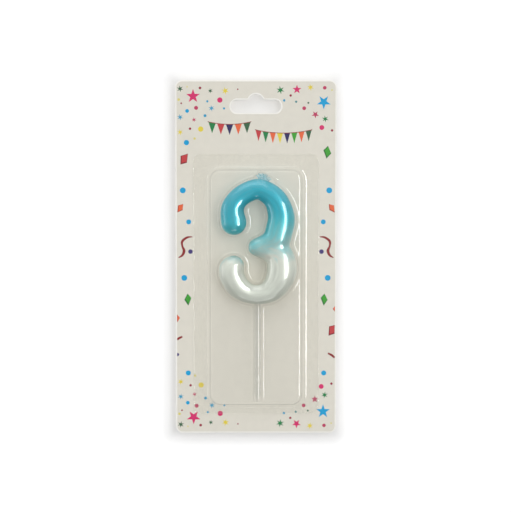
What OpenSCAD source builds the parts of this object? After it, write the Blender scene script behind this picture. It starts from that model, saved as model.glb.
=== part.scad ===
// Number birthday candle, packed on a blister card.
// Frame: the origin is the centre of the hang slot, on the card's flat back face.
// +Z is up, +X is to the right seen from the front, and the front faces -Y.
// Each piece is drawn lying flat, with x to the right, y up and z towards the
// viewer, and stood() turns it upright.

/* [Card] */
// Width of the backing card
card_w = 85; // [80:1:100]
// Height of the backing card
card_h = 186.5; // [180:0.5:200]
// Thickness of the coated board
card_t = 0.8; // [0.5:0.1:1.2]
// Radius of the card's corners
card_r = 3.6; // [2:0.1:8]
// Distance from the card's top edge down to the centre of the hang slot
slot_drop = 13.7; // [12:0.1:14]

/* [Hang slot] */
// Overall width of the slot
slot_w = 26.4; // [24:0.2:32]
// Height of the slot's straight band
slot_band_h = 6.8; // [6:0.1:8]
// Height from the slot's centre line to the top of its round hump
slot_hump_top = 6.4; // [6:0.1:7]
// Radius of the hump
slot_hump_r = 4; // [3.5:0.1:4.5]
// Radius of the fillets where the hump meets the band
slot_fillet_r = 1.5; // [1:0.1:2]

/* [Blister] */
// Thickness of the clear sheet
sheet_t = 0.3; // [0.25:0.05:0.4]
// Width of the sealed flange
flange_w = 66.6; // [64:0.2:72]
// Height of the sealed flange
flange_h = 137.8; // [134:0.2:142]
// Radius of the flange's corners
flange_r = 4.2; // [3:0.1:6]
// Distance from the slot's centre down to the flange's top edge
flange_drop = 24.9; // [22:0.1:26]
// Width of the tray at the flange
tray_w = 52; // [51.6:0.2:54]
// Height of the tray at the flange
tray_h = 126.4; // [125:0.2:130]
// Radius of the tray's corners at the flange
tray_r = 5.3; // [4:0.1:8]
// Distance from the slot's centre down to the tray's top edge
tray_drop = 32.5; // [31:0.1:33]
// Depth of the tray above the card
tray_depth = 5; // [4.6:0.1:5.4]
// How far the tray's walls lean inwards
tray_draft = 1.5; // [1.3:0.1:1.6]
// Space between the numeral's sides and the dome's walls
dome_gap = 1; // [0.9:0.1:1.2]
// Space between the numeral's front and the dome
dome_front_gap = 0.4; // [0.3:0.1:0.8]
// Thickness of the heat-seal layer
seal_t = 0.1; // [0.05:0.05:0.2]

/* [Candle] */
// Height of the numeral from its lowest point to the slot's centre
number_drop = 103.7; // [102:0.1:105]
// Offset of the numeral's pick to the right of the card's centre line
number_x = 0.8; // [0:0.1:1.2]
// Front-to-back thickness of a stroke as a share of its width
stroke_depth = 0.78; // [0.7:0.01:0.8]
// Space between the numeral's back and the card
back_gap = 0.6; // [0.4:0.1:1]

/* [Pick] */
// Width across the pick's cross-shaped section
pick_w = 3.4; // [3:0.1:4]
// Thickness of the pick's ribs
pick_rib = 1; // [0.8:0.1:1.4]
// Length of the pick that shows below the numeral
pick_free = 50.2; // [46:0.1:51]
// Length of the pick that is cast into the numeral
pick_cast = 9; // [7:0.1:9.4]
// Width of the blister's channel over the pick
channel_w = 5.8; // [5.6:0.1:7]

/* [Wick] */
// Diameter of the wick
wick_d = 1.8; // [1.4:0.1:2.2]
// Width of the wick's flattened end, which is bent over to the right
wick_w = 6.5; // [5:0.1:6.8]
// Height of the wick's flattened end above the numeral
wick_h = 3; // [2.5:0.1:3.1]
// How far the stem is to the right of the pick
wick_x = 3; // [2.6:0.1:3.4]

/* [Hidden] */

// The numeral's strokes: [right of the pick, above the lowest point, half the width]
upper_stroke = [
    [-12.4, 42.8, 6.8], [-13.2, 49.4, 6.1], [-10.4, 54.8, 5.6], [-5.0, 58.6, 5.5],
    [1.3, 60.0, 5.5], [9.0, 55.0, 6.2], [12.4, 46.0, 7.1], [11.3, 38.6, 7.3],
    [9.0, 33.2, 6.8], [-0.3, 29.8, 4.3]
];
lower_stroke = [
    [-0.3, 29.8, 4.3], [7.2, 27.1, 5.8], [11.6, 24.9, 7.3], [12.7, 17.8, 7.9],
    [10.3, 10.9, 7.0], [5.8, 6.4, 5.8], [0.4, 5.1, 5.1], [-5.2, 5.9, 5.3],
    [-10.3, 9.4, 6.2], [-13.3, 14.8, 6.6], [-13.7, 18.2, 6.6], [-12.4, 20.0, 5.6]
];
// The pocket over the wick, from its left end to its right: the same three numbers
wick_pocket = [[2.0, 64.7, 3.4], [5.4, 62.8, 3.4]];
// Steps between two points of a stroke
stroke_steps = 2;
// Sides of a wax stroke's section, and of the dome's
wax_sides = 26;
dome_sides = 20;

// Radius of the slot's round ends
slot_end_r = slot_band_h / 2 - 0.2;
// Space left round the seal ring, inside the flange's edge and outside the tray
seal_inset = 0.5;
// How much wider the dome's walls are at the tray than at the numeral's middle
dome_draft = 0.4;
// How far the wick's pocket runs back into the dome
pocket_run = 4;
// Space over the pick in its channel, and past its end
channel_gap = 0.6;
channel_end_gap = 1;
// Length of the wick's buried stem
wick_buried = 8;
// How far the wick's flattened end reaches to the left of its stem's centre
wick_reach = 2.5;
// Length of the pick's taper
pick_taper = 3;
// Size of the blister's rounded edges
edge_round = 1;
// Overlap that joins touching shapes, and the thickness of a hull's flat levels
overlap = 0.1;
sliver = 0.01;
// How far the blister's inside is cut past its open back
cut = 1;

widest = max([for (p = concat(upper_stroke, lower_stroke)) p[2]]);
top_of_wax = max([for (p = upper_stroke) p[1] + p[2]]);
seal_top = card_t + seal_t;
mid = card_t + back_gap + widest * stroke_depth;
tray_top = seal_top + tray_depth;
channel_top = mid + pick_w / 2 + channel_gap + sheet_t;
channel_length = pick_free + channel_end_gap;

// A Catmull-Rom curve through a, b, c and d, at t from 0 at b to 1 at c
function curve(a, b, c, d, t) =
    0.5 * (2 * b + (c - a) * t + (2 * a - 5 * b + 4 * c - d) * t * t
        + (3 * b - a - 3 * c + d) * t * t * t);

// A stroke's points with steps more between each two of them
function smooth(p, steps) = let (last = len(p) - 1) concat(
    [for (i = [0 : last - 1], s = [0 : steps - 1])
        curve(p[max(i - 1, 0)], p[i], p[i + 1], p[min(i + 2, last)], s / steps)],
    [p[last]]);

module stood() {
    rotate([90, 0, 0]) children();
}

// Moves a piece of the candle to its place on the card
module at_number() {
    translate([number_x, -number_drop, 0]) children();
}

// A rectangle with true round corners, centred in x and hanging down from y = 0
module round_panel(w, h, r) {
    translate([-w / 2 + r, -h]) square([w - 2 * r, h]);
    translate([-w / 2, -h + r]) square([w, h - 2 * r]);
    for (x = [-w / 2 + r, w / 2 - r], y = [-r, -h + r])
        translate([x, y]) circle(r, $fn = 48);
}

// One side's fillet between the slot's hump and its band
module slot_fillet() {
    band_top = slot_band_h / 2;
    hump_y = slot_hump_top - slot_hump_r;
    rise = band_top + slot_fillet_r - hump_y;
    reach = sqrt(pow(slot_hump_r + slot_fillet_r, 2) - rise * rise);
    difference() {
        polygon([[0, hump_y], [reach, band_top + slot_fillet_r], [reach, band_top - overlap],
            [0, band_top - overlap]]);
        translate([reach, band_top + slot_fillet_r]) circle(slot_fillet_r, $fn = 32);
    }
}

module hang_slot() {
    translate([0, slot_band_h / 2]) round_panel(slot_w, slot_band_h, slot_end_r);
    translate([0, slot_hump_top - slot_hump_r]) circle(slot_hump_r, $fn = 48);
    slot_fillet();
    mirror([1, 0]) slot_fillet();
}

module backing_card() {
    color("antiquewhite") stood() linear_extrude(card_t) difference() {
        translate([0, slot_drop]) round_panel(card_w, card_h, card_r);
        hang_slot();
    }
}

// The bond between the flange and the card, a ring just inside the flange's edge
module heat_seal() {
    inset = seal_inset;
    color("whitesmoke") stood() translate([0, 0, card_t]) linear_extrude(seal_t) difference() {
        translate([0, -flange_drop - inset])
            round_panel(flange_w - 2 * inset, flange_h - 2 * inset, flange_r - inset);
        translate([0, -tray_drop + inset])
            round_panel(tray_w + 2 * inset, tray_h + 2 * inset, tray_r + inset);
    }
}

// The tray's outer shape, or with inwards = sheet_t the space inside it
module tray(inwards) {
    levels = [
        [seal_top - (inwards > 0 ? cut : 0), 0],
        [tray_top - edge_round - inwards / 2, tray_draft - edge_round / 3],
        [tray_top - inwards, tray_draft + edge_round * 0.8]
    ];
    hull() for (l = levels)
        translate([0, -tray_drop - l[1] - inwards, l[0]]) linear_extrude(sliver)
            round_panel(tray_w - 2 * (l[1] + inwards), tray_h - 2 * (l[1] + inwards),
                tray_r - (l[1] + inwards) / 2);
}

// One place along the dome: a leaning wall up to the middle and a rounded front
module dome_place(p, inwards) {
    reach = p[2] + dome_gap + sheet_t - inwards;
    front = p[2] * stroke_depth + dome_front_gap + sheet_t - inwards;
    floor_z = tray_top - sheet_t - (inwards > 0 ? cut : 0);
    translate([p[0], p[1], 0]) {
        translate([0, 0, floor_z])
            cylinder(h = mid - floor_z, r1 = reach + dome_draft, r2 = reach, $fn = dome_sides);
        translate([0, 0, mid])
            scale([reach, reach, front]) sphere(1, $fn = dome_sides);
    }
}

module dome(stroke, inwards) {
    places = smooth(stroke, stroke_steps);
    for (i = [1 : len(places) - 1])
        hull() {
            dome_place(places[i - 1], inwards);
            dome_place(places[i], inwards);
        }
}

// The pocket that rises over the wick, running back into the dome
module wick_dome(inwards) {
    hull() for (p = wick_pocket, run = [0, pocket_run])
        dome_place([p[0], p[1] - run, p[2]], inwards);
}

// The channel over the pick, with leaning walls and a rounded top edge
module channel(inwards) {
    half = channel_w / 2 - inwards;
    low = tray_top - sheet_t - (inwards > 0 ? cut : 0);
    levels = [[low, dome_draft], [channel_top - edge_round, 0], [channel_top - inwards, -edge_round]];
    hull() for (l = levels)
        translate([-half - l[1], -channel_length + inwards - l[1], l[0] - sliver])
            cube([2 * (half + l[1]), channel_length + pocket_run, sliver]);
}

module blister_form(inwards) {
    tray(inwards);
    at_number() {
        dome(upper_stroke, inwards);
        dome(lower_stroke, inwards);
        wick_dome(inwards);
        channel(inwards);
    }
}

module blister_shell() {
    color("lightcyan", 0.35) stood() difference() {
        union() {
            translate([0, -flange_drop, seal_top]) linear_extrude(sheet_t)
                round_panel(flange_w, flange_h, flange_r);
            blister_form(0);
        }
        blister_form(sheet_t);
    }
}

module stroke_place(p) {
    translate([p[0], p[1], mid])
        scale([p[2], p[2], p[2] * stroke_depth]) sphere(1, $fn = wax_sides);
}

module stroke(points) {
    places = smooth(points, stroke_steps);
    for (i = [1 : len(places) - 1])
        hull() {
            stroke_place(places[i - 1]);
            stroke_place(places[i]);
        }
}

// The pick's cross-shaped section and tapered end, along y from the numeral down
module pick_bar() {
    half = pick_w / 2;
    outline = [[-half, pick_cast], [-half, pick_taper - pick_free], [-pick_rib / 2, -pick_free],
        [pick_rib / 2, -pick_free], [half, pick_taper - pick_free], [half, pick_cast]];
    for (turn = [0, 90])
        rotate([0, turn, 0]) translate([0, 0, -pick_rib / 2])
            linear_extrude(pick_rib) polygon(outline);
}

// The wick's buried stem, which ends just above the wax
module wick_stem() {
    translate([wick_x, top_of_wax - wick_buried, mid])
        rotate([-90, 0, 0]) cylinder(h = wick_buried + overlap, d = wick_d, $fn = 24);
}

module wax_number() {
    color("mediumturquoise") stood() at_number() difference() {
        union() {
            stroke(upper_stroke);
            stroke(lower_stroke);
        }
        translate([0, 0, mid]) pick_bar();
        wick_stem();
    }
}

// The stem and the wick's flattened end, which is bent over and slopes down to the right
module wick() {
    thick = wick_d * 0.9;
    left = thick / 2 - wick_reach;
    right = wick_w - wick_reach - thick / 2;
    corners = [[left, wick_h - thick / 2], [right, -thick * 0.4],
        [-wick_d / 2, -thick / 3], [wick_d, -thick * 0.8]];
    color("paleturquoise") stood() at_number() {
        wick_stem();
        translate([wick_x, top_of_wax, mid])
            hull() for (c = corners) translate(c) sphere(d = thick, $fn = 20);
    }
}

module pick() {
    color("gainsboro", 0.6) stood() at_number() translate([0, 0, mid]) pick_bar();
}

backing_card();
heat_seal();
blister_shell();
wax_number();
wick();
pick();
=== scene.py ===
"""Number birthday candle on a blister card: the looks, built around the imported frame.

The frame is the CAD frame in metres: the origin is the centre of the card's hang slot on its flat back,
+Z is up, +X is to the right seen from the front, and the front faces -Y. Shapes are worked out flat, in
millimetres, as (across, up, out): across is to the right of the origin or of the pick, up is above the
origin or above the numeral's lowest point, and out is in front of the card's back. stood() turns them
into the frame.
"""

import math

import bmesh
import bpy
import numpy as np
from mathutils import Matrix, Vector
from mathutils.geometry import delaunay_2d_cdt


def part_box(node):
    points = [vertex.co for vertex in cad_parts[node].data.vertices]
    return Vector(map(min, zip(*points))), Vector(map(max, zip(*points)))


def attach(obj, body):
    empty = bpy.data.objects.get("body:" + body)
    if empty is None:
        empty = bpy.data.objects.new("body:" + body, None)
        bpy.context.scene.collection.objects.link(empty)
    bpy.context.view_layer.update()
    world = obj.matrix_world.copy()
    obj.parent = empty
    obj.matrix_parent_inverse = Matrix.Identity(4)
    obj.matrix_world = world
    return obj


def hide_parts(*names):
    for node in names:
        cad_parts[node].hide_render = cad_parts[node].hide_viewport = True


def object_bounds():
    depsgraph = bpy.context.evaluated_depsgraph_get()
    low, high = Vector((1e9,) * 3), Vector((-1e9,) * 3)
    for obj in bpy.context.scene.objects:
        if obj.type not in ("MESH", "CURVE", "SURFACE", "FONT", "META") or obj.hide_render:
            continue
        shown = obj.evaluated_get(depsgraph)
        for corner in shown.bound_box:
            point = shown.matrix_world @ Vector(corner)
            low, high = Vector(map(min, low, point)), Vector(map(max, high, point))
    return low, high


MM = 0.001
WELD_DISTANCE = 0.002 * MM
# Further off than any point, in mm
FAR = 1e3

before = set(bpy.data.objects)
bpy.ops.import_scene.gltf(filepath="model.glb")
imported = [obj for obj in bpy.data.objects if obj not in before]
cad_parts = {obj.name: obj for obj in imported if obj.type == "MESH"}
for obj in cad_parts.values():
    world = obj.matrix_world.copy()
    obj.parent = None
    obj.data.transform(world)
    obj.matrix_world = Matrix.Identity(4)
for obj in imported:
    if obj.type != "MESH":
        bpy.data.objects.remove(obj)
cad_low, cad_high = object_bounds()

# ---------------------------------------------------------------- places taken from the frame, in mm


def flat_box(node):
    """A node's box as low and high [across, up, out]."""
    low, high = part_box(node)
    return np.array([low.x, low.z, -high.y]) / MM, np.array([high.x, high.z, -low.y]) / MM


CARD_LOW, CARD_HIGH = flat_box("backing_card")
SEAL_LOW, SEAL_HIGH = flat_box("heat_seal")
SHELL_LOW, SHELL_HIGH = flat_box("blister_shell")
WAX_LOW, WAX_HIGH = flat_box("wax_number")
WICK_LOW, WICK_HIGH = flat_box("wick")
PICK_LOW, PICK_HIGH = flat_box("pick")

NUMBER_X = (PICK_LOW[0] + PICK_HIGH[0]) / 2
NUMBER_Z = WAX_LOW[1]
MID = (PICK_LOW[2] + PICK_HIGH[2]) / 2
NUMBER_AT = np.array([NUMBER_X, NUMBER_Z, 0])

# ---------------------------------------------------------------- driving dimensions, in mm

# The numeral's strokes: [right of the pick, above the lowest point, half the width]
UPPER_STROKE = [
    [-12.4, 42.8, 6.8], [-13.2, 49.4, 6.1], [-10.4, 54.8, 5.6], [-5.0, 58.6, 5.5],
    [1.3, 60.0, 5.5], [9.0, 55.0, 6.2], [12.4, 46.0, 7.1], [11.3, 38.6, 7.3],
    [9.0, 33.2, 6.8], [-0.3, 29.8, 4.3],
]
LOWER_STROKE = [
    [-0.3, 29.8, 4.3], [7.2, 27.1, 5.8], [11.6, 24.9, 7.3], [12.7, 17.8, 7.9],
    [10.3, 10.9, 7.0], [5.8, 6.4, 5.8], [0.4, 5.1, 5.1], [-5.2, 5.9, 5.3],
    [-10.3, 9.4, 6.2], [-13.3, 14.8, 6.6], [-13.7, 18.2, 6.6], [-12.4, 20.0, 5.6],
]
STROKE_STEPS = 8
STROKE_DEPTH = 0.78
STROKE_BLEND = 1.6
# The aqua fades between these heights above the lowest point, and tilts with the distance across
FADE_LOW = 22
FADE_HIGH = 56
FADE_TILT = -0.13
WAX_CELL = 0.4

CARD_RADIUS = 3.6
SLOT_HALF_W = 13.2
SLOT_HALF_H = 3.4
SLOT_END_R = 3.2
SLOT_HUMP_TOP = 6.4
SLOT_HUMP_R = 4.0
SLOT_FILLET_R = 1.5
CARD_BEVEL = 0.14
PRINT_MARGIN = 0.7

SHEET = 0.3
SEAL_GAP = 0.02
FLANGE_R = 4.2
TRAY_HALF_W = 25.1
TRAY_TOP_Z = -32.5
TRAY_HEIGHT = 125.6
TRAY_R = 6.3
TRAY_DEPTH = 5.0
TRAY_DRAFT = 1.4
DOME_GAP = 0.5
DOME_DRAFT = 0.25
DOME_FRONT_SHARE = 0.72
CHANNEL_HALF_W = 2.3
CHANNEL_R = 2.0
CHANNEL_LEAN = 0.3
CHANNEL_GAP = 0.5
CHANNEL_END_GAP = 0.9
POCKET_BLEND = 0.8
WICK_POCKET = [[2.0, 64.7, 3.4], [5.4, 62.8, 3.4], [4.0, 59.4, 3.6], [2.0, 61.4, 3.6]]
TRAY_EDGE = 0.8
TRAY_FOOT = 2.2
DOME_FOOT = 1.2
CHANNEL_EDGE = 1.2
CHANNEL_FOOT = 0.9
SHELL_CELL = 0.5
SURFACE_ROUNDS = 2
SLOPE_STEP = 0.01
SHELL_ROUNDS = 3
WAX_ROUNDS = 14
SEAL_RING_INSET = 0.5

# ---------------------------------------------------------------- node and mesh helpers


def add(tree, kind, inputs=None, **settings):
    """A shader node with its settings, and with each input set to a value or linked to a socket."""
    node = tree.nodes.new(kind)
    for name, value in settings.items():
        setattr(node, name, value)
    for name, value in (inputs or {}).items():
        if isinstance(value, bpy.types.NodeSocket):
            tree.links.new(value, node.inputs[name])
        else:
            node.inputs[name].default_value = value
    return node


def empty_material(name):
    mat = bpy.data.materials.new(name)
    mat.use_nodes = True
    mat.node_tree.nodes.clear()
    return mat, mat.node_tree


def linear(red, green, blue):
    """A linear colour from the 0 to 255 values that a print or paint swatch gives."""
    parts = [c / 255 for c in (red, green, blue)]
    return tuple(p / 12.92 if p <= 0.04045 else ((p + 0.055) / 1.055) ** 2.4 for p in parts) + (1.0,)


def stood(points):
    """Flat (across, up, out) millimetres to the frame's metres."""
    p = np.asarray(points, float) * MM
    return np.stack([p[:, 0], -p[:, 2], p[:, 1]], 1)


def new_piece(name, points, faces, body, slot, replaces, *materials):
    """A mesh object from flat points, which stands for a CAD node and rides on its body."""
    mesh = bpy.data.meshes.new(name)
    mesh.from_pydata(stood(points).tolist(), [], [list(map(int, f)) for f in faces])
    mesh.validate()
    piece = bpy.data.objects.new(name, mesh)
    bpy.context.scene.collection.objects.link(piece)
    for mat in materials:
        mesh.materials.append(mat)
    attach(piece, body)
    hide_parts(replaces)
    return piece


def shade_smooth(piece):
    piece.data.polygons.foreach_set("use_smooth", np.full(len(piece.data.polygons), True))
    piece.data.update()


# ---------------------------------------------------------------- curves and outlines


def arc(centre, radius, start, end, steps=10):
    """Points on an arc, from one angle in degrees to another."""
    angles = np.radians(np.linspace(start, end, steps + 1))
    return [(centre[0] + radius * math.cos(a), centre[1] + radius * math.sin(a)) for a in angles]


def round_rect(low, high, radius, inset=0.0, steps=10):
    """A rectangle with round corners, counterclockwise, moved inwards by inset."""
    left, bottom = low[0] + radius, low[1] + radius
    right, top = high[0] - radius, high[1] - radius
    r = radius - inset
    return (
        arc((right, bottom), r, 270, 360, steps) + arc((right, top), r, 0, 90, steps)
        + arc((left, top), r, 90, 180, steps) + arc((left, bottom), r, 180, 270, steps)
    )


def slot_outline(grow):
    """The hang slot: a band with round ends and a hump on top, moved outwards by grow."""
    w, h, r = SLOT_HALF_W - SLOT_END_R, SLOT_HALF_H - SLOT_END_R, SLOT_END_R + grow
    hump = (0, SLOT_HUMP_TOP - SLOT_HUMP_R)
    fillet_z = SLOT_HALF_H + SLOT_FILLET_R
    rise = fillet_z - hump[1]
    reach = math.sqrt((SLOT_HUMP_R + SLOT_FILLET_R) ** 2 - rise**2)
    turn = math.degrees(math.atan2(rise, reach))
    fillet_r = SLOT_FILLET_R - grow
    return (
        arc((-w, -h), r, 180, 270) + arc((w, -h), r, 270, 360) + arc((w, h), r, 0, 90)
        + arc((reach, fillet_z), fillet_r, 270, 180 + turn, 6)
        + arc(hump, SLOT_HUMP_R + grow, turn, 180 - turn, 16)
        + arc((-reach, fillet_z), fillet_r, 360 - turn, 270, 6)
        + arc((-w, h), r, 90, 180)
    )


def smooth_points(points, steps):
    """A Catmull-Rom curve through the points, with steps between each two of them."""
    p = np.array(points, float)
    p = np.vstack([p[:1], p, p[-1:]])
    made = []
    for a, b, c, d in zip(p, p[1:], p[2:], p[3:]):
        for t in np.arange(steps) / steps:
            made.append(0.5 * (2 * b + (c - a) * t + (2 * a - 5 * b + 4 * c - d) * t**2
                               + (3 * b - a - 3 * c + d) * t**3))
    return np.array(made + [p[-1]])


# ---------------------------------------------------------------- surfaces from distance fields


def joined(a, b, width):
    """Two shapes as one, with a fillet about as wide as width where they meet."""
    h = np.maximum(width - np.abs(a - b), 0) / width
    return np.minimum(a, b) - h * h * width / 4


def crossed(a, b, width):
    """What two shapes share, with its edge rounded."""
    return -joined(-a, -b, width)


def chain(u, v, off, places):
    """Distance from a chain of round places [u, v, radius], where off is the distance from its plane."""
    best = np.full(np.shape(u), FAR)
    for (u0, v0, r0), (u1, v1, r1) in zip(places, places[1:]):
        du, dv = u1 - u0, v1 - v0
        t = np.clip(((u - u0) * du + (v - v0) * dv) / (du * du + dv * dv), 0, 1)
        away = np.sqrt((u - u0 - t * du) ** 2 + (v - v0 - t * dv) ** 2 + off * off)
        best = np.minimum(best, away - r0 - t * (r1 - r0))
    return best


def rect_distance(u, v, half_w, half_h, radius):
    """Distance outside a rectangle with round corners, centred at 0."""
    a = np.abs(u) - half_w + radius
    b = np.abs(v) - half_h + radius
    outside = np.hypot(np.maximum(a, 0), np.maximum(b, 0))
    return outside + np.minimum(np.maximum(a, b), 0) - radius


def surface_net(field, low, high, cell):
    """Points and quads of the surface where field is zero, one point in each cell that it crosses."""
    counts = [int(math.ceil((h - l) / cell)) + 1 for l, h in zip(low, high)]
    axes = [l + cell * np.arange(n) for l, n in zip(low, counts)]
    values = field(*np.meshgrid(*axes, indexing="ij"))
    cells = tuple(n - 1 for n in counts)
    total = np.zeros(cells + (3,))
    hits = np.zeros(cells)
    crossings = []
    for axis in range(3):
        a, b = [other for other in range(3) if other != axis]
        start = np.take(values, range(counts[axis] - 1), axis)
        end = np.take(values, range(1, counts[axis]), axis)
        crosses = (start < 0) != (end < 0)
        along = np.where(crosses, start / np.where(crosses, start - end, 1), 0)
        for step_a, step_b in ((0, 0), (0, 1), (1, 0), (1, 1)):
            part = [slice(None)] * 3
            part[a] = slice(step_a, step_a + cells[a])
            part[b] = slice(step_b, step_b + cells[b])
            hit = crosses[tuple(part)]
            hits += hit
            total[..., axis] += along[tuple(part)]
            total[..., a] += step_a * hit
            total[..., b] += step_b * hit
        crossings.append((axis, a, b, crosses, start))
    active = hits > 0
    number = np.full(cells, -1)
    number[active] = np.arange(active.sum())
    points = (np.argwhere(active) + total[active] / hits[active][:, None]) * cell + low
    quads = []
    for axis, a, b, crosses, start in crossings:
        inner = [slice(None)] * 3
        inner[a] = slice(1, cells[a])
        inner[b] = slice(1, cells[b])
        spots = np.argwhere(crosses[tuple(inner)])
        spots[:, a] += 1
        spots[:, b] += 1
        corners = []
        for step_a, step_b in ((-1, -1), (0, -1), (0, 0), (-1, 0)):
            near = spots.copy()
            near[:, a] += step_a
            near[:, b] += step_b
            corners.append(number[tuple(near.T)])
        quad = np.stack(corners, 1)
        inside_first = start[tuple(spots.T)] < 0
        backwards = inside_first if axis == 1 else ~inside_first
        quad[backwards] = quad[backwards][:, ::-1]
        quads.append(quad)
    return points, np.concatenate(quads)


def onto_surface(points, field, most):
    """Moves points onto the surface where field is zero, by no more than most each."""
    slope = surface_slope(points, field)
    here = field(*points.T)
    move = -slope * (here / np.maximum((slope**2).sum(1), 1e-3))[:, None]
    length = np.linalg.norm(move, axis=1)
    return points + move * np.minimum(1, most / np.maximum(length, 1e-9))[:, None]


def open_edges(quads, count):
    """The edges, as [from, to], that only one quad uses."""
    ends = np.concatenate([quads[:, [i, (i + 1) % 4]] for i in range(4)])
    ways = ends[:, 0] * count + ends[:, 1]
    back = ends[:, 1] * count + ends[:, 0]
    return ends[~np.isin(ways, back)]


def surface_slope(points, field):
    """How fast field grows at each point, across, up and out."""
    slope = np.zeros_like(points)
    for axis in range(3):
        shift = np.zeros(3)
        shift[axis] = SLOPE_STEP
        slope[:, axis] = (field(*(points + shift).T) - field(*(points - shift).T)) / (2 * SLOPE_STEP)
    return slope


def evened(points, quads, held):
    """Each point at the mean of its neighbours, apart from the held ones."""
    ends = np.concatenate([quads[:, [i, (i + 1) % 4]] for i in range(4)])
    count = np.bincount(ends.ravel(), minlength=len(points))
    total = np.zeros_like(points)
    for axis in range(3):
        total[:, axis] = np.bincount(ends[:, 0], points[ends[:, 1], axis], len(points))
        total[:, axis] += np.bincount(ends[:, 1], points[ends[:, 0], axis], len(points))
    moved = total / np.maximum(count, 1)[:, None]
    moved[held] = points[held]
    return moved


def smooth_surface(field, low, high, cell, softening=0):
    """A surface net with evenly spread points on the surface, its creases softened by further rounds."""
    points, quads = surface_net(field, low, high, cell)
    rim = np.unique(open_edges(quads, len(points)))
    for _ in range(SURFACE_ROUNDS):
        points = onto_surface(evened(points, quads, rim), field, cell / 2)
    for _ in range(softening):
        points = evened(points, quads, rim)
    return points, quads


# ---------------------------------------------------------------- the backing card

INKS = {
    "ground": (225, 221, 209),
    "board": (247, 245, 240),
    "back": (226, 222, 212),
    "pink": (214, 44, 108),
    "rose": (190, 62, 98),
    "dark_red": (150, 38, 62),
    "red": (196, 62, 66),
    "red_shade": (128, 36, 44),
    "orange": (232, 104, 62),
    "orange_shade": (176, 66, 46),
    "yellow": (228, 208, 70),
    "pale_yellow": (222, 212, 122),
    "green": (32, 128, 70),
    "dark_green": (52, 98, 66),
    "diamond": (62, 160, 50),
    "diamond_shade": (34, 104, 44),
    "teal": (74, 136, 140),
    "blue": (10, 160, 214),
    "soft_blue": (62, 158, 196),
    "navy": (44, 40, 92),
    "violet": (70, 60, 120),
    "ribbon": (142, 44, 46),
    "olive": (150, 150, 70),
}

# Confetti by the card's top left corner: [shape, ink, from the left edge, from the top edge, size]
LEFT_CORNER = [
    ["spark", "dark_green", 2.6, 4.5, 2.9], ["dot", "pale_yellow", 6.3, 3.5, 0.8],
    ["star", "pink", 9.4, 8.4, 7.6], ["dot", "dark_red", 13.1, 4.1, 1.4],
    ["spark", "dark_green", 18.5, 5.6, 2.2], ["spark", "yellow", 26.3, 5.6, 3.3],
    ["dot", "dark_red", 32.9, 4.8, 0.8], ["dot", "pale_yellow", 1.9, 10.2, 1.4],
    ["dot", "dark_red", 3.2, 12.1, 0.9], ["dot", "pink", 23.5, 10.4, 2.8],
    ["dot", "soft_blue", 16.9, 11.1, 1.2], ["dot", "rose", 11.0, 14.5, 2.1],
    ["spark", "soft_blue", 19.1, 14.7, 2.7], ["dot", "soft_blue", 25.7, 14.8, 1.2],
    ["dot", "blue", 6.3, 16.1, 2.0], ["spark", "soft_blue", 2.6, 19.4, 2.7],
    ["dot", "soft_blue", 15.7, 18.6, 1.6], ["spark", "rose", 9.9, 20.7, 2.1],
    ["dot", "dark_red", 7.8, 25.4, 1.3], ["dot", "yellow", 13.4, 25.6, 2.8],
    ["spark", "yellow", 2.6, 27.3, 2.7], ["dot", "pale_yellow", 10.2, 30.6, 1.3],
]
# The same by the top right corner, measured from the right edge
RIGHT_CORNER = [
    ["spark", "green", 29.7, 5.2, 3.6], ["star", "pink", 21.0, 4.9, 5.0],
    ["spark", "yellow", 13.9, 3.8, 3.0], ["dot", "rose", 6.4, 4.0, 1.9],
    ["dot", "pale_yellow", 2.6, 5.2, 0.9], ["dot", "dark_red", 24.3, 8.0, 1.3],
    ["dot", "soft_blue", 27.7, 10.6, 1.3], ["dot", "teal", 21.4, 11.3, 1.2],
    ["fallen_star", "blue", 6.9, 11.5, 7.6], ["dot", "dark_green", 15.0, 11.9, 1.0],
    ["dot", "rose", 17.2, 14.7, 2.0], ["fallen_star", "rose", 11.3, 18.0, 4.1],
    ["spark", "green", 6.1, 20.3, 3.0], ["dot", "pink", 7.9, 24.8, 2.6],
    ["dot", "dark_red", 2.5, 26.3, 1.3],
]
# Confetti down both sides: [shape, ink, from the side edge, from the top edge, size]
SIDE_DOTS = [
    ["dot", "blue", 3.9, 57.8, 3.1], ["dot", "blue", 7.0, 74.4, 2.6], ["dot", "violet", 7.9, 90.1, 2.4],
    ["dot", "blue", 4.6, 104.0, 3.1], ["dot", "blue", 6.6, 154.5, 2.7],
]
LEFT_DOTS = [["dot", "blue", 5.9, 32.7, 2.8], ["dot", "violet", 0.9, 144.7, 1.7]]
# Paper pieces drawn as four-cornered chips: [ink, shade, corners as (from the side edge, from the top)]
SIDE_CHIPS = [
    ["orange", "orange_shade", [(1.4, 65.7), (4.1, 65.0), (3.8, 68.2), (1.0, 69.5)]],
    ["diamond", "diamond_shade", [(6.3, 112.3), (8.3, 114.6), (6.7, 118.7), (4.6, 115.6)]],
]
LEFT_CHIPS = [
    ["red", "red_shade", [(2.8, 39.7), (6.7, 38.5), (6.1, 43.3), (2.7, 44.2)]],
    ["orange", "orange_shade", [(0.7, 123.4), (2.2, 125.2), (1.0, 127.4), (0.65, 127.0)]],
]
RIGHT_CHIPS = [
    ["diamond", "diamond_shade", [(4.6, 34.4), (7.0, 36.7), (5.4, 41.1), (2.9, 38.4)]],
    ["orange", "orange_shade", [(0.65, 118.8), (1.9, 120.4), (0.9, 121.8), (0.7, 121.6)]],
    ["red", "red_shade", [(3.8, 129.7), (4.1, 134.7), (0.9, 133.6), (0.8, 129.0)]],
]
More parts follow.
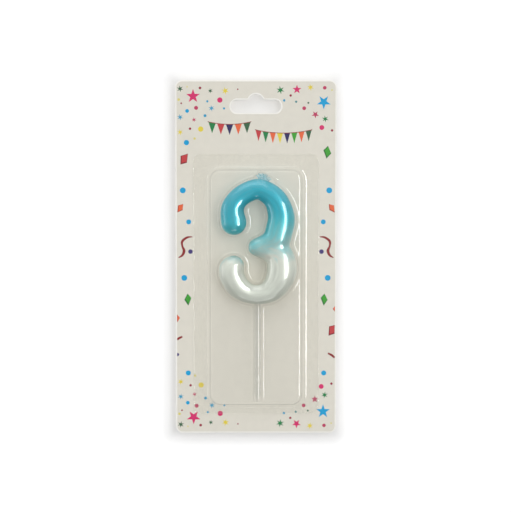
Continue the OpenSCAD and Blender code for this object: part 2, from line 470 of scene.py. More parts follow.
# Curled streamers: [from the side edge, from the top edge, width]
SIDE_STREAMER = [
    [8.9, 82.3, 0.4], [6.2, 82.6, 1.1], [3.6, 84.6, 1.3], [3.6, 87.2, 1.0], [4.5, 89.6, 1.5],
    [3.6, 92.0, 1.2], [1.6, 93.3, 0.5],
]
LEFT_STREAMER = [[0.75, 136.8, 1.0], [1.9, 135.9, 1.2], [3.5, 135.2, 0.8]]
RIGHT_STREAMER = [[0.8, 146.4, 0.9], [2.4, 145.0, 1.2], [4.4, 144.0, 0.8]]

# Two strings of pennants: [left end, right end, height above the origin, sag, inks]
BUNTING = [
    [-25.4, -2.4, -8.0, 1.4, ["green", "red", "navy", "orange", "dark_green"]],
    [-0.6, 29.6, -12.2, 1.8,
     ["red", "green", "orange", "yellow", "navy", "diamond", "orange", "dark_green"]],
]
PENNANT_H = 5.6
STRING_W = 0.35
SPARK_GROWTH = 1.25
PENNANT_GAP = 0.08
CHIP_SHARE = 0.8
CHIP_SHIFT = (0.2, 0.24)


def star(x, z, size, tips, inner, turn):
    """A star whose tips lie on a circle of the given size, turned by some degrees from pointing up."""
    corners = []
    for i in range(2 * tips):
        angle = math.radians(90 + turn + 180 * i / tips)
        reach = size / 2 * (inner if i % 2 else 1)
        corners.append((x + reach * math.cos(angle), z + reach * math.sin(angle)))
    return corners


def confetti(shape, x, z, size, flip):
    """A dot or star, upside down where the cluster is flipped."""
    if shape == "dot":
        return arc((x, z), size / 2, 0, 360, 20)[:-1]
    if shape == "spark":
        return star(x, z, size * SPARK_GROWTH, 6, 0.36, 10 * flip)
    upright = (shape == "star") == (flip > 0)
    return star(x, z, size, 5, 0.4, 0 if upright else 180)


def wound(corners):
    """The corners counterclockwise."""
    area = sum(a[0] * b[1] - b[0] * a[1] for a, b in zip(corners, corners[1:] + corners[:1]))
    return corners if area > 0 else corners[::-1]


def streamer(points):
    """A ribbon's outline, from its middle line and widths."""
    line = smooth_points(points, 5)
    ahead = np.gradient(line[:, :2], axis=0)
    ahead /= np.linalg.norm(ahead, axis=1)[:, None]
    side = np.stack([-ahead[:, 1], ahead[:, 0]], 1) * line[:, 2:3] / 2
    return [tuple(p) for p in np.vstack([line[:, :2] + side, (line[:, :2] - side)[::-1]])]


def chip(corners):
    """A chip's face: its corners drawn in towards the middle and up, so that its shaded side shows."""
    middle = np.mean(corners, 0)
    return [tuple(middle + (np.array(c) - middle) * CHIP_SHARE + CHIP_SHIFT) for c in corners]


def bunting_shapes():
    """The strings and pennants as [ink, outline]."""
    shapes = []
    for left, right, height, sag, inks in BUNTING:
        def hang(x):
            share = (x - left) / (right - left)
            return height - sag * 4 * share * (1 - share)
        places = np.linspace(left, right, 25)
        string = [[x, hang(x), STRING_W] for x in places]
        pitch = (right - left) / len(inks)
        for i, name in enumerate(inks):
            a = left + (i + PENNANT_GAP) * pitch
            b = left + (i + 1 - PENNANT_GAP) * pitch
            tip = (a + b) / 2
            shapes.append([name, [(a, hang(a)), (tip, hang(tip) - PENNANT_H), (b, hang(b))]])
        shapes.append(["ribbon", streamer(string)])
    return shapes


def print_shapes():
    """Everything printed on the card, as [ink, outline in flat millimetres]."""
    left, right, top, bottom = CARD_LOW[0], CARD_HIGH[0], CARD_HIGH[1], CARD_LOW[1]
    shapes = []

    def from_side(edge, points):
        inward = 1 if edge == left else -1
        return [(edge + inward * p[0], top - p[1]) for p in points]

    def scatter(edge, rows, flips=(1,)):
        for shape, name, aside, down, size in rows:
            x = from_side(edge, [(aside, 0)])[0][0]
            for flip in flips:
                z = top - down if flip > 0 else bottom + down
                shapes.append([name, confetti(shape, x, z, size, flip)])

    scatter(left, LEFT_CORNER, (1, -1))
    scatter(right, RIGHT_CORNER, (1, -1))
    scatter(left, LEFT_DOTS)
    for edge, chips, streamers in (
        (left, LEFT_CHIPS, [LEFT_STREAMER]), (right, RIGHT_CHIPS, [RIGHT_STREAMER]),
    ):
        scatter(edge, SIDE_DOTS)
        for name, shade, corners in SIDE_CHIPS + chips:
            outline = from_side(edge, corners)
            shapes.append([shade, outline])
            shapes.append([name, chip(outline)])
        for points in [SIDE_STREAMER] + streamers:
            line = [p + [w[2]] for p, w in zip(map(list, from_side(edge, points)), points)]
            shapes.append(["ribbon", streamer(line)])
    return [[name, wound(list(outline))] for name, outline in shapes + bunting_shapes()]


def filled(loops):
    """Triangles that fill the loops, each with the numbers of the loops that it lies in."""
    points = [Vector(p) for loop in loops for p in loop]
    faces = []
    start = 0
    for loop in loops:
        faces.append(list(range(start, start + len(loop))))
        start += len(loop)
    found = delaunay_2d_cdt(points, [], faces, 1, 1e-5)
    return [tuple(p) for p in found[0]], found[2], found[5]


def board_material():
    """Coated board: the print's inks, a fine paper grain and a satin coat."""
    mat, tree = empty_material("printed_board")
    place = add(tree, "ShaderNodeTexCoord").outputs["Object"]
    ink = add(tree, "ShaderNodeAttribute", attribute_name="ink")
    mottle = add(tree, "ShaderNodeTexNoise", {"Vector": place, "Scale": 260.0, "Detail": 5.0})
    tone = add(tree, "ShaderNodeMapRange",
               {"Value": mottle.outputs["Fac"], "From Min": 0.3, "From Max": 0.7, "To Min": 0.975,
                "To Max": 1.015})
    colour = add(tree, "ShaderNodeVectorMath", {0: ink.outputs["Color"], 1: tone.outputs["Result"]},
                 operation="MULTIPLY")
    grain = add(tree, "ShaderNodeTexNoise", {"Vector": place, "Scale": 2600.0, "Detail": 3.0})
    gloss = add(tree, "ShaderNodeMapRange",
                {"Value": grain.outputs["Fac"], "To Min": 0.36, "To Max": 0.52})
    bump = add(tree, "ShaderNodeBump",
               {"Height": grain.outputs["Fac"], "Strength": 0.25, "Distance": 0.00004})
    skin = add(tree, "ShaderNodeBsdfPrincipled",
               {"Base Color": colour.outputs["Vector"], "Roughness": gloss.outputs["Result"],
                "Normal": bump.outputs["Normal"], "Specular IOR Level": 0.35})
    add(tree, "ShaderNodeOutputMaterial", {"Surface": skin.outputs["BSDF"]})
    return mat


def build_card():
    """The die-cut card: rounded edges, a bare margin round the print, and the print as its own faces."""
    low, high, thick = CARD_LOW, CARD_HIGH, CARD_HIGH[2]
    points, faces, inks, smooth = [], [], [], []

    def ring(inset, out):
        start = len(points)
        loops = [round_rect(low, high, CARD_RADIUS, inset), slot_outline(inset)]
        points.extend((x, z, out) for loop in loops for x, z in loop)
        return [(start, len(loops[0])), (start + len(loops[0]), len(loops[1]))]

    def band(lower, upper):
        for hole, ((a, n), (b, _)) in enumerate(zip(lower, upper)):
            for i in range(n):
                j = (i + 1) % n
                quad = [a + i, a + j, b + j, b + i]
                faces.append(quad[::-1] if hole else quad)
                inks.append("board")
                smooth.append(True)

    def sheet(loops, out, pick_ink):
        start = len(points)
        found, triangles, inside = filled(loops)
        points.extend((x, z, out) for x, z in found)
        for triangle, numbers in zip(triangles, inside):
            if 1 in numbers:
                continue
            corner = [start + i for i in triangle]
            faces.append(corner if out else corner[::-1])
            inks.append(pick_ink(numbers))
            smooth.append(False)

    profile = [(CARD_BEVEL, 0), (0, CARD_BEVEL), (0, thick - CARD_BEVEL), (CARD_BEVEL, thick)]
    rings = [ring(inset, out) for inset, out in profile]
    for lower, upper in zip(rings, rings[1:]):
        band(lower, upper)
    rim = [round_rect(low, high, CARD_RADIUS, CARD_BEVEL), slot_outline(CARD_BEVEL)]
    printed = [round_rect(low, high, CARD_RADIUS, PRINT_MARGIN), slot_outline(PRINT_MARGIN)]
    shapes = print_shapes()

    def front_ink(numbers):
        if 2 not in numbers or 3 in numbers:
            return "board"
        top_shape = max(numbers)
        return shapes[top_shape - 4][0] if top_shape > 3 else "ground"

    sheet(rim + printed + [outline for _, outline in shapes], thick, front_ink)
    sheet(rim, 0, lambda numbers: "back")
    card = new_piece("printed_card", points, faces, "card", "printed_card", "backing_card",
                     board_material())
    mesh = card.data
    colours = mesh.color_attributes.new("ink", "FLOAT_COLOR", "CORNER")
    table = {name: linear(*values) for name, values in INKS.items()}
    for polygon, name in zip(mesh.polygons, inks):
        for corner in polygon.loop_indices:
            colours.data[corner].color = table[name]
    mesh.polygons.foreach_set("use_smooth", smooth)
    weld(card)
    return card


def weld(piece):
    """Joins points that lie on each other."""
    work = bmesh.new()
    work.from_mesh(piece.data)
    bmesh.ops.remove_doubles(work, verts=work.verts, dist=WELD_DISTANCE)
    work.to_mesh(piece.data)
    work.free()


# ---------------------------------------------------------------- the wax numeral

UPPER = smooth_points(UPPER_STROKE, STROKE_STEPS)
LOWER = smooth_points(LOWER_STROKE, STROKE_STEPS)


def wax_field(u, v, w):
    """The cast numeral: both strokes, flattened front to back and blended where they meet."""
    off = (w - MID) / STROKE_DEPTH
    return joined(chain(u, v, off, UPPER), chain(u, v, off, LOWER), STROKE_BLEND)


def flow_coordinates(points):
    """For each point, how far along its stroke it lies and how far across it, in millimetres."""
    found = np.full(len(points), FAR)
    along = np.zeros(len(points))
    across = np.zeros(len(points))
    travelled = 0.0
    for places in (UPPER, LOWER):
        for (u0, v0, _), (u1, v1, _) in zip(places, places[1:]):
            length = math.hypot(u1 - u0, v1 - v0)
            du, dv = (u1 - u0) / length, (v1 - v0) / length
            t = np.clip((points[:, 0] - u0) * du + (points[:, 1] - v0) * dv, 0, length)
            away = np.hypot(points[:, 0] - u0 - t * du, points[:, 1] - v0 - t * dv)
            side = (points[:, 1] - v0) * du - (points[:, 0] - u0) * dv
            nearer = away < found
            found[nearer] = away[nearer]
            along[nearer] = (travelled + t)[nearer]
            across[nearer] = side[nearer]
            travelled += length
        travelled += 20
    return along, across


def wax_material():
    """Pearlescent wax: aqua at the top, fading into pearl white, with streaks along the pour."""
    mat, tree = empty_material("pearl_wax")
    place = add(tree, "ShaderNodeTexCoord").outputs["Object"]
    spread = add(tree, "ShaderNodeSeparateXYZ", {"Vector": place}).outputs
    height = add(tree, "ShaderNodeMath", {0: spread["X"], 1: FADE_TILT, 2: spread["Z"]},
                 operation="MULTIPLY_ADD").outputs["Value"]
    flow = add(tree, "ShaderNodeAttribute", attribute_name="flow").outputs["Vector"]
    stretched = add(tree, "ShaderNodeVectorMath", {0: flow, 1: (0.03, 0.6, 0.6)}, operation="MULTIPLY")
    streaks = add(tree, "ShaderNodeTexNoise",
                  {"Vector": stretched.outputs["Vector"], "Scale": 1.0, "Detail": 5.0, "Roughness": 0.6})
    clouds = add(tree, "ShaderNodeTexNoise", {"Vector": place, "Scale": 90.0, "Detail": 3.0})
    blur = add(tree, "ShaderNodeMapRange",
               {"Value": streaks.outputs["Fac"], "From Min": 0.3, "From Max": 0.7, "To Min": -0.003,
                "To Max": 0.003})
    cloudy = add(tree, "ShaderNodeMapRange",
                 {"Value": clouds.outputs["Fac"], "From Min": 0.3, "From Max": 0.7, "To Min": -0.003,
                  "To Max": 0.003})
    uneven = add(tree, "ShaderNodeMath", {0: blur.outputs["Result"], 1: cloudy.outputs["Result"]})
    level = add(tree, "ShaderNodeMath", {0: height, 1: uneven.outputs["Value"]})
    low = (NUMBER_Z + FADE_LOW) * MM
    high = (NUMBER_Z + FADE_HIGH) * MM
    share = add(tree, "ShaderNodeMapRange",
                {"Value": level.outputs["Value"], "From Min": low, "From Max": high})
    ramp = add(tree, "ShaderNodeValToRGB", {"Fac": share.outputs["Result"]})
    stops = [
        (0.0, linear(219, 224, 213)), (0.14, linear(172, 206, 202)), (0.33, linear(120, 200, 204)),
        (0.55, linear(70, 188, 199)), (0.8, linear(34, 172, 190)), (1.0, linear(40, 176, 196)),
    ]
    ends = ramp.color_ramp.elements
    for spot, colour in stops[1:-1]:
        ends.new(spot).color = colour
    ends[0].color = stops[0][1]
    ends[-1].color = stops[-1][1]
    tone = add(tree, "ShaderNodeMapRange",
               {"Value": streaks.outputs["Fac"], "From Min": 0.3, "From Max": 0.7, "To Min": 0.86,
                "To Max": 1.1})
    colour = add(tree, "ShaderNodeVectorMath", {0: ramp.outputs["Color"], 1: tone.outputs["Result"]},
                 operation="MULTIPLY")
    gloss = add(tree, "ShaderNodeMapRange",
                {"Value": streaks.outputs["Fac"], "To Min": 0.3, "To Max": 0.45})
    bump = add(tree, "ShaderNodeBump",
               {"Height": streaks.outputs["Fac"], "Strength": 0.25, "Distance": 0.0001})
    skin = add(tree, "ShaderNodeBsdfPrincipled",
               {"Base Color": colour.outputs["Vector"], "Roughness": gloss.outputs["Result"],
                "Normal": bump.outputs["Normal"], "Metallic": 0.25, "Coat Weight": 0.9,
                "Coat Roughness": 0.09, "Specular IOR Level": 0.3,
                "Subsurface Weight": 0.25, "Subsurface Radius": (1.0, 1.0, 1.0),
                "Subsurface Scale": 0.003})
    add(tree, "ShaderNodeOutputMaterial", {"Surface": skin.outputs["BSDF"]})
    return mat


def build_wax():
    low, high = WAX_LOW - NUMBER_AT - 1, WAX_HIGH - NUMBER_AT + 1
    points, quads = smooth_surface(wax_field, low, high, WAX_CELL, WAX_ROUNDS)
    wax = new_piece("wax_numeral", points + NUMBER_AT, quads, "candle", "pearl_wax", "wax_number",
                    wax_material())
    along, across = flow_coordinates(points)
    flow = wax.data.attributes.new("flow", "FLOAT_VECTOR", "POINT")
    values = np.stack([along, across, points[:, 2]], 1).astype(np.float32)
    flow.data.foreach_set("vector", values.ravel())
    shade_smooth(wax)
    return wax


# ---------------------------------------------------------------- the clear pieces


def mirror_share(tree, head_on, normal=None):
    """How much a clear surface mirrors: head_on straight on, rising to all of it at a grazing angle."""
    inputs = {"Blend": 0.5}
    if normal is not None:
        inputs["Normal"] = normal
    facing = add(tree, "ShaderNodeLayerWeight", inputs).outputs["Facing"]
    grazing = add(tree, "ShaderNodeMath", {0: facing, 1: 5.0}, operation="POWER")
    return add(tree, "ShaderNodeMath", {0: grazing.outputs["Value"], 1: 1 - head_on, 2: head_on},
               operation="MULTIPLY_ADD").outputs["Value"]


def clear_material(name, tint, head_on, rough, wave_scale, wave_height):
    """A clear plastic that lets light straight through and mirrors by angle, with a wavy skin."""
    mat, tree = empty_material(name)
    place = add(tree, "ShaderNodeTexCoord").outputs["Object"]
    waves = add(tree, "ShaderNodeTexNoise", {"Vector": place, "Scale": wave_scale, "Detail": 2.0})
    bump = add(tree, "ShaderNodeBump",
               {"Height": waves.outputs["Fac"], "Strength": 1.0, "Distance": wave_height})
    normal = bump.outputs["Normal"]
    through = add(tree, "ShaderNodeBsdfTransparent", {"Color": tint})
    mirror = add(tree, "ShaderNodeBsdfGlossy", {"Roughness": rough, "Normal": normal})
    lamp_ray = add(tree, "ShaderNodeLightPath").outputs["Is Shadow Ray"]
    blocked = add(tree, "ShaderNodeMath", {0: 1.0, 1: lamp_ray}, operation="SUBTRACT")
    share = add(tree, "ShaderNodeMath",
                {0: mirror_share(tree, head_on, normal), 1: blocked.outputs["Value"]},
                operation="MULTIPLY")
    both = add(tree, "ShaderNodeMixShader",
               {0: share.outputs["Value"], 1: through.outputs["BSDF"], 2: mirror.outputs["BSDF"]})
    add(tree, "ShaderNodeOutputMaterial", {"Surface": both.outputs["Shader"]})
    return mat


SHEET_TINT = (0.997, 0.998, 0.995, 1)
SHEET_MIRROR = 0.042
SHEET_ROUGH = 0.045
SHEET_WAVE_SCALE = 70.0
SHEET_WAVE_HEIGHT = 0.00006
SEAL_TOP = SEAL_HIGH[2]
TRAY_TOP = SEAL_TOP + TRAY_DEPTH
CHANNEL_TOP = PICK_HIGH[2] + CHANNEL_GAP + SHEET
TRAY_MIDDLE = TRAY_TOP_Z - TRAY_HEIGHT / 2 - NUMBER_Z


def grown(places, extra):
    return [[u, v, r + extra] for u, v, r in places]


DOME_UPPER = grown(UPPER, DOME_GAP + SHEET)
DOME_LOWER = grown(LOWER, DOME_GAP + SHEET)
DOME_POCKET = grown(WICK_POCKET, DOME_GAP + SHEET)


def shell_field(u, v, w):
    """The blister's outer face: the flange, and the tray, dome, pocket and channel that rise from it."""
    flange = w - SEAL_TOP - SHEET
    lean = TRAY_DRAFT * np.clip((w - SEAL_TOP) / TRAY_DEPTH, 0, 1.2)
    side = rect_distance(u + NUMBER_X, v - TRAY_MIDDLE, TRAY_HALF_W, TRAY_HEIGHT / 2, TRAY_R) + lean
    tray = joined(crossed(side, w - TRAY_TOP, TRAY_EDGE), flange, TRAY_FOOT)
    off = np.maximum(w - MID, 0) / DOME_FRONT_SHARE
    wall = DOME_DRAFT * np.clip((MID - w) / (MID - TRAY_TOP), 0, 1)
    dome = joined(chain(u, v, off, DOME_UPPER), chain(u, v, off, DOME_LOWER), STROKE_BLEND)
    dome = joined(dome, chain(u, v, off, DOME_POCKET), POCKET_BLEND) - wall
    end = -v - (NUMBER_Z - PICK_LOW[1] + CHANNEL_END_GAP)
    low = np.clip((CHANNEL_TOP - w) / (CHANNEL_TOP - TRAY_TOP), 0, 1.2)
    aside = np.abs(u) - CHANNEL_HALF_W + CHANNEL_R - CHANNEL_LEAN * (low - 0.5)
    above = w - CHANNEL_TOP + CHANNEL_R
    arch = np.hypot(np.maximum(aside, 0), np.maximum(above, 0)) + np.minimum(np.maximum(aside, above), 0)
    channel = crossed(arch - CHANNEL_R, np.maximum(end, v - 4), CHANNEL_EDGE)
    return joined(joined(tray, channel, CHANNEL_FOOT), dome, DOME_FOOT)


def build_shell():
    """The blister as one closed sheet: its outer face, the same face moved inwards, and the cut edge."""
    middle = (SHELL_LOW + SHELL_HIGH) / 2 - NUMBER_AT
    half = (SHELL_HIGH - SHELL_LOW) / 2
    margin = 2 * SHELL_CELL
    low, high = SHELL_LOW - NUMBER_AT - margin, SHELL_HIGH - NUMBER_AT + margin
    low[2] = SEAL_TOP
    points, quads = smooth_surface(shell_field, low, high, SHELL_CELL, SHELL_ROUNDS)

    def outline(u, v, w):
        return rect_distance(u - middle[0], v - middle[1], half[0], half[1], FLANGE_R) + 0 * w

    quads = quads[outline(*points[quads].mean(1).T) < 0]
    used, quads = np.unique(quads, return_inverse=True)
    quads = quads.reshape(-1, 4)
    points = points[used]
    edges = open_edges(quads, len(points))
    rim = np.unique(edges)
    for _ in range(3):
        points[rim] = onto_surface(points[rim], outline, margin)
    slope = surface_slope(points, shell_field)
    inner = points - SHEET * slope / np.linalg.norm(slope, axis=1)[:, None]
    n = len(points)
    cut = np.stack([edges[:, 1], edges[:, 0], edges[:, 0] + n, edges[:, 1] + n], 1)
    faces = np.concatenate([quads, quads[:, ::-1] + n, cut])
    sheet = clear_material("clear_sheet", SHEET_TINT, SHEET_MIRROR, SHEET_ROUGH, SHEET_WAVE_SCALE,
                           SHEET_WAVE_HEIGHT)
    shell = new_piece("clear_blister", np.concatenate([points, inner]) + NUMBER_AT, faces, "blister",
                      "clear_sheet", "blister_shell", sheet)
    shade_smooth(shell)
    return shell


def lacquer_material():
    """Heat-seal lacquer: clear with a faint milky haze and a fine dotted bond."""
    mat, tree = empty_material("seal_lacquer")
    place = add(tree, "ShaderNodeTexCoord").outputs["Object"]
    dots = add(tree, "ShaderNodeTexNoise", {"Vector": place, "Scale": 900.0, "Detail": 2.0})
    haze = add(tree, "ShaderNodeMapRange",
               {"Value": dots.outputs["Fac"], "From Min": 0.3, "From Max": 0.7, "To Min": 0.01,
                "To Max": 0.04})
    through = add(tree, "ShaderNodeBsdfTransparent", {"Color": (1, 1, 1, 1)})
    milk = add(tree, "ShaderNodeBsdfPrincipled", {"Base Color": linear(240, 238, 230), "Roughness": 0.5})
    both = add(tree, "ShaderNodeMixShader",
               {0: haze.outputs["Result"], 1: through.outputs["BSDF"], 2: milk.outputs["BSDF"]})
    add(tree, "ShaderNodeOutputMaterial", {"Surface": both.outputs["Shader"]})
    return mat


def build_seal():
    """The thin ring of seal lacquer under the flange."""
    inset = SEAL_RING_INSET
    tray_low = np.array([-TRAY_HALF_W, TRAY_TOP_Z - TRAY_HEIGHT])
    tray_high = np.array([TRAY_HALF_W, TRAY_TOP_Z])
    loops = [
        round_rect(SEAL_LOW, SEAL_HIGH, FLANGE_R - inset),
        round_rect(tray_low, tray_high, TRAY_R, -inset),
    ]
    points, faces = [], []
    for out in (SEAL_LOW[2] + SEAL_GAP, SEAL_TOP - SEAL_GAP):
        for loop in loops:
            points += [(x, z, out) for x, z in loop]
    n = len(loops[0])
    for i in range(n):
        j = (i + 1) % n
        back_outer, back_inner, front_outer, front_inner = (k * n for k in range(4))
        faces.append([front_outer + i, front_outer + j, front_inner + j, front_inner + i])
        faces.append([back_outer + j, back_outer + i, back_inner + i, back_inner + j])
        faces.append([back_outer + i, back_outer + j, front_outer + j, front_outer + i])
        faces.append([back_inner + j, back_inner + i, front_inner + i, front_inner + j])
    return new_piece("seal_ring", points, faces, "card", "seal_lacquer", "heat_seal", lacquer_material())


# ---------------------------------------------------------------- the pick and the wick

PICK_HALF = (PICK_HIGH[0] - PICK_LOW[0]) / 2
PICK_RIB = 1.0
PICK_TAPER = 3.0


def cross_outline(half, rib):
    """A cross with slightly round corners: half its width, and half its rib's thickness."""
    tip, root = min(0.22, (half - rib) * 0.3), min(0.3, (half - rib) * 0.4)
    made = []
    for quarter in range(4):
        side = (
            arc((half - tip, rib - tip), tip, 0, 90, 3)
            + arc((rib + root, rib + root), root, 270, 180, 3)
            + arc((rib - tip, half - tip), tip, 0, 90, 3)
        )
        turn = math.radians(90 * quarter)
        c, s = math.cos(turn), math.sin(turn)
        made += [(x * c - y * s, x * s + y * c) for x, y in side]
    return made


def lofted(rings):
    """Faces between rings of the same number of points, with a cap at each end."""
    n = len(rings[0])
    faces = [list(range(n))[::-1]]
    for k in range(len(rings) - 1):
        for i in range(n):
            j = (i + 1) % n
            faces.append([k * n + i, k * n + j, (k + 1) * n + j, (k + 1) * n + i])
    faces.append([(len(rings) - 1) * n + i for i in range(n)])
    return [p for ring in rings for p in ring], faces


def pick_material():
    """Clear moulded polystyrene with faint flow lines and a slightly grey body."""
    return clear_material("clear_pick", (0.93, 0.935, 0.93, 1), 0.07, 0.1, 700.0, 0.00003)


def build_pick():
    """The cross-section pick, cast into the numeral, with a tapered end."""
    levels = [
        (PICK_LOW[1], 0.62), (PICK_LOW[1] + 0.25, 0.8), (PICK_LOW[1] + PICK_TAPER, PICK_HALF - 0.05),
        (PICK_LOW[1] + PICK_TAPER + 0.4, PICK_HALF), (PICK_HIGH[1], PICK_HALF),
    ]
    rings = []
    for height, half in levels:
        section = cross_outline(half, min(PICK_RIB / 2, half * 0.8))
        rings.append([(NUMBER_X + x, height, MID - y) for x, y in section])
    points, faces = lofted(rings)
    pick = new_piece("clear_pick", points, faces, "candle", "clear_pick", "pick", pick_material())
    shade_smooth(pick)
    edges = pick.modifiers.new("edges", "WEIGHTED_NORMAL")
    edges.keep_sharp = True
    return pick


WICK_U = 3.0
WICK_FOOT = 62.9
WICK_ROOT_HALF = 1.9
WICK_TIPS = [
    [-0.4, 67.3], [0.6, 68.0], [1.5, 67.8], [2.4, 68.1], [3.3, 67.9], [4.3, 67.8], [5.2, 67.1],
    [6.1, 66.2], [6.9, 65.3],
]
STRAND_R = 0.46
STRAND_STAGGER = 0.28
STRAND_BLEND = 0.25
STRAND_BEND = 1.3
STRAND_TAPER = 0.3
STRAND_PLACES = 6
WICK_CELL = 0.12


def wick_material():
    """Cotton strands soaked in aqua wax."""
    mat, tree = empty_material("waxed_wick")
    place = add(tree, "ShaderNodeTexCoord").outputs["Object"]
    fibres = add(tree, "ShaderNodeTexNoise", {"Vector": place, "Scale": 1800.0, "Detail": 4.0})
    ramp = add(tree, "ShaderNodeValToRGB", {"Fac": fibres.outputs["Fac"]})
    ramp.color_ramp.elements[0].position = 0.35
    ramp.color_ramp.elements[0].color = linear(45, 135, 150)
    ramp.color_ramp.elements[1].position = 0.62
    ramp.color_ramp.elements[1].color = linear(190, 228, 232)
    bump = add(tree, "ShaderNodeBump",
               {"Height": fibres.outputs["Fac"], "Strength": 0.6, "Distance": 0.0001})
    skin = add(tree, "ShaderNodeBsdfPrincipled",
               {"Base Color": ramp.outputs["Color"], "Roughness": 0.42, "Normal": bump.outputs["Normal"],
                "Coat Weight": 0.3, "Coat Roughness": 0.2})
    add(tree, "ShaderNodeOutputMaterial", {"Surface": skin.outputs["BSDF"]})
    return mat


def wick_field(u, v, w):
    """Waxed strands that leave the numeral side by side, fan out, and lean over to the right."""
    whole = np.full(np.shape(u), FAR)
    count = len(WICK_TIPS)
    for k, (tip_u, tip_v) in enumerate(WICK_TIPS):
        share = 2 * k / (count - 1) - 1
        foot_u = WICK_U + WICK_ROOT_HALF * share
        places = []
        for t in np.linspace(0, 1, STRAND_PLACES):
            reach = t**STRAND_BEND
            rise = math.sin(t * math.pi / 2)
            places.append([foot_u + (tip_u - foot_u) * reach, WICK_FOOT + (tip_v - WICK_FOOT) * rise,
                           STRAND_R * (1 - STRAND_TAPER * t)])
        off = w - MID - STRAND_STAGGER * (-1) ** k
        strand = chain(u, v, off, places)
        whole = joined(whole, strand, STRAND_BLEND)
    return whole


def build_wick():
    """The wick's frayed end, flattened and leaning to the right, with its stem down in the wax."""
    low = np.array([WICK_LOW[0] - NUMBER_X - 1.5, WICK_FOOT - 1, MID - 1.6])
    high = np.array([WICK_HIGH[0] - NUMBER_X + 1.5, WICK_HIGH[1] - NUMBER_Z + 1, MID + 1.6])
    points, quads = smooth_surface(wick_field, low, high, WICK_CELL)
    wick = new_piece("waxed_wick", points + NUMBER_AT, quads, "candle", "waxed_wick", "wick",
                     wick_material())
    shade_smooth(wick)
    return wick


# ---------------------------------------------------------------- stage, light and camera, in metres

CAMERA_DISTANCE = 0.62
FRAME_WIDTH = 0.2677
CAMERA_AZIMUTH = 0.0
CAMERA_ELEVATION = 2.4
CAMERA_RAISE = 0.0011
SENSOR_WIDTH = 36.0
CLEAR_BOUNCES = 24
BACKDROP_GAP = 0.0045
BACKDROP_HALF = 0.32
# The backdrop's glow at full strength: it lifts the paper to white, and its fading towards the card is a
# painted shadow
BACKDROP_GLOW_PAST_PAINTED_SHADOW = 0.3
BACKDROP_COLOUR = (0.87, 0.87, 0.87, 1)
# How far the backdrop's painted shadow, a dark rim round the card where its glow is missing, reaches
# past the card, and how far it is moved to the right, in mm
SHADOW_REACH = 9
SHADOW_SHIFT = -1.2
# The surroundings' brightness, from straight down (0) to straight up (1)
SURROUNDINGS = [(0.0, 0.06), (0.2, 0.18), (0.35, 0.3), (0.5, 0.42), (0.75, 0.7), (1.0, 0.9)]
# Lamps: [name, azimuth, elevation, distance, width, height, brightness, what it lights, casts shadows]
LAMPS = [
    ["window", 28, 1, 0.9, 0.24, 0.66, 2.5, "both", True],
    ["window_glint", 28, 1, 0.91, 0.24, 0.66, 7.0, "glossy", True],
    ["overhead", -12, 50, 0.9, 0.7, 0.5, 0.8, "both", True],
    ["fill", -14, -4, 0.9, 0.6, 0.6, 2.45, "diffuse", False],
    ["left_glint", -62, 2, 0.9, 0.2, 0.72, 1.6, "glossy", True],
    ["low_glint", 0, -52, 0.9, 0.5, 0.16, 1.6, "glossy", True],
    ["rear", 205, 20, 1.0, 0.7, 0.9, 1.0, "both", True],
]


def direction(azimuth, elevation):
    """Away from the object: azimuth 0 is in front, and 90 to its right."""
    a, e = math.radians(azimuth), math.radians(elevation)
    return Vector((math.sin(a) * math.cos(e), -math.cos(a) * math.cos(e), math.sin(e)))


def backdrop_material(centre):
    """White paper whose glow lifts it to white away from the card and fades out near the card, a painted
    shadow round it; clear from behind and to lamps, so the back is lit.
    """
    mat, tree = empty_material("white_backdrop_painted_shadow")
    sheet = add(tree, "ShaderNodeBsdfDiffuse", {"Color": BACKDROP_COLOUR})
    middle = (centre.x + SHADOW_SHIFT * MM, 0, centre.z)
    half = ((CARD_HIGH[0] - CARD_LOW[0]) / 2 * MM, 1, (CARD_HIGH[1] - CARD_LOW[1]) / 2 * MM)
    place = add(tree, "ShaderNodeTexCoord").outputs["Object"]
    offset = add(tree, "ShaderNodeVectorMath", {0: place, 1: middle}, operation="SUBTRACT")
    folded = add(tree, "ShaderNodeVectorMath", {0: offset.outputs["Vector"]}, operation="ABSOLUTE")
    past = add(tree, "ShaderNodeVectorMath", {0: folded.outputs["Vector"], 1: half},
               operation="SUBTRACT")
    beyond = add(tree, "ShaderNodeVectorMath", {0: past.outputs["Vector"], 1: (0, 0, 0)},
                 operation="MAXIMUM")
    away = add(tree, "ShaderNodeVectorMath", {0: beyond.outputs["Vector"]},
               operation="LENGTH").outputs["Value"]
    # Glow from none at the card's edge to full at the reach: a painted shadow round the card
    painted_shadow_glow = add(tree, "ShaderNodeMapRange",
                   {"Value": away, "From Max": SHADOW_REACH * MM, "To Max": BACKDROP_GLOW_PAST_PAINTED_SHADOW})
    glow = add(tree, "ShaderNodeEmission",
               {"Color": (1, 1, 1, 1), "Strength": painted_shadow_glow.outputs["Result"]})
    paper = add(tree, "ShaderNodeAddShader", {0: sheet.outputs["BSDF"], 1: glow.outputs["Emission"]})
    clear = add(tree, "ShaderNodeBsdfTransparent")
    behind = add(tree, "ShaderNodeNewGeometry").outputs["Backfacing"]
    lamp_ray = add(tree, "ShaderNodeLightPath").outputs["Is Shadow Ray"]
    either = add(tree, "ShaderNodeMath", {0: behind, 1: lamp_ray}, operation="MAXIMUM")
    both = add(tree, "ShaderNodeMixShader",
               {0: either.outputs["Value"], 1: paper.outputs["Shader"], 2: clear.outputs["BSDF"]})
    add(tree, "ShaderNodeOutputMaterial", {"Surface": both.outputs["Shader"]})
    return mat


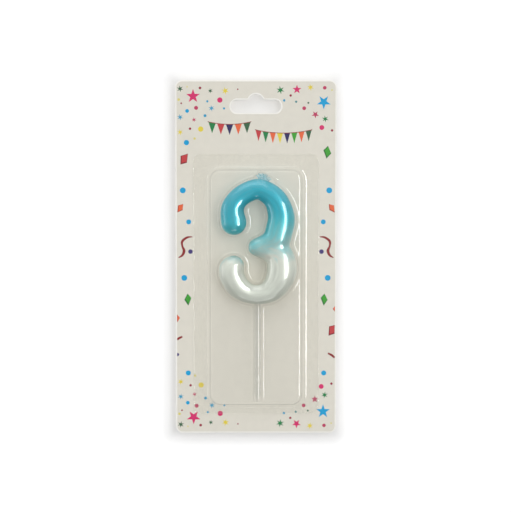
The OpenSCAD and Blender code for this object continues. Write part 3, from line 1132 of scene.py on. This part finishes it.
def build_backdrop(centre):
    mesh = bpy.data.meshes.new("backdrop")
    half, y = BACKDROP_HALF, BACKDROP_GAP
    corners = [(-half, y, -half), (half, y, -half), (half, y, half), (-half, y, half)]
    mesh.from_pydata([(centre.x + x, yy, centre.z + z) for x, yy, z in corners], [], [(0, 1, 2, 3)])
    mesh.materials.append(backdrop_material(centre))
    backdrop = bpy.data.objects.new("backdrop", mesh)
    bpy.context.scene.collection.objects.link(backdrop)


def build_world():
    """Soft studio surroundings: bright above, dim below, and plain white where the camera sees them."""
    world = bpy.data.worlds.new("studio")
    bpy.context.scene.world = world
    world.use_nodes = True
    tree = world.node_tree
    tree.nodes.clear()
    way = add(tree, "ShaderNodeTexCoord").outputs["Generated"]
    up = add(tree, "ShaderNodeSeparateXYZ", {"Vector": way}).outputs["Z"]
    share = add(tree, "ShaderNodeMapRange", {"Value": up, "From Min": -1.0, "From Max": 1.0})
    ramp = add(tree, "ShaderNodeValToRGB", {"Fac": share.outputs["Result"]})
    ends = ramp.color_ramp.elements
    for spot, level in SURROUNDINGS[1:-1]:
        ends.new(spot).color = (level, level, level, 1)
    for end, (_, level) in ((ends[0], SURROUNDINGS[0]), (ends[-1], SURROUNDINGS[-1])):
        end.color = (level, level, level, 1)
    around = add(tree, "ShaderNodeBackground", {"Color": ramp.outputs["Color"], "Strength": 1.0})
    white = add(tree, "ShaderNodeBackground", {"Color": (0.99, 0.99, 0.99, 1), "Strength": 1.0})
    seen = add(tree, "ShaderNodeLightPath").outputs["Is Camera Ray"]
    both = add(tree, "ShaderNodeMixShader",
               {0: seen, 1: around.outputs["Background"], 2: white.outputs["Background"]})
    add(tree, "ShaderNodeOutputWorld", {"Surface": both.outputs["Shader"]})


def softbox(name, centre, azimuth, elevation, distance, width, height, radiance, lights, shadow):
    """A rectangular lamp that faces the object, by how bright its face is and by what it lights."""
    lamp = bpy.data.lights.new(name, "AREA")
    lamp.shape = "RECTANGLE"
    lamp.size, lamp.size_y = width, height
    lamp.energy = radiance * width * height * math.pi
    spot = bpy.data.objects.new(name, lamp)
    bpy.context.scene.collection.objects.link(spot)
    way = direction(azimuth, elevation)
    spot.location = centre + way * distance
    spot.rotation_euler = way.to_track_quat("Z", "Y").to_euler()
    lamp.use_shadow = shadow
    spot.visible_diffuse = lights != "glossy"
    spot.visible_glossy = lights != "diffuse"


def build_lights(centre):
    for name, *values in LAMPS:
        softbox(name, centre, *values)


def build_camera(centre):
    data = bpy.data.cameras.new("camera")
    data.sensor_width = SENSOR_WIDTH
    data.lens = SENSOR_WIDTH * CAMERA_DISTANCE / FRAME_WIDTH
    camera = bpy.data.objects.new("camera", data)
    bpy.context.scene.collection.objects.link(camera)
    way = direction(CAMERA_AZIMUTH, CAMERA_ELEVATION)
    camera.location = centre + way * CAMERA_DISTANCE + Vector((0, 0, CAMERA_RAISE))
    camera.rotation_euler = way.to_track_quat("Z", "Y").to_euler()
    bpy.context.scene.camera = camera


build_card()
build_wax()
build_shell()
build_seal()
build_pick()
build_wick()

middle = (cad_low + cad_high) / 2
build_backdrop(middle)
build_world()
build_lights(middle)
build_camera(middle)

scene = bpy.context.scene
scene.view_settings.view_transform = "Standard"
scene.cycles.transparent_max_bounces = CLEAR_BOUNCES
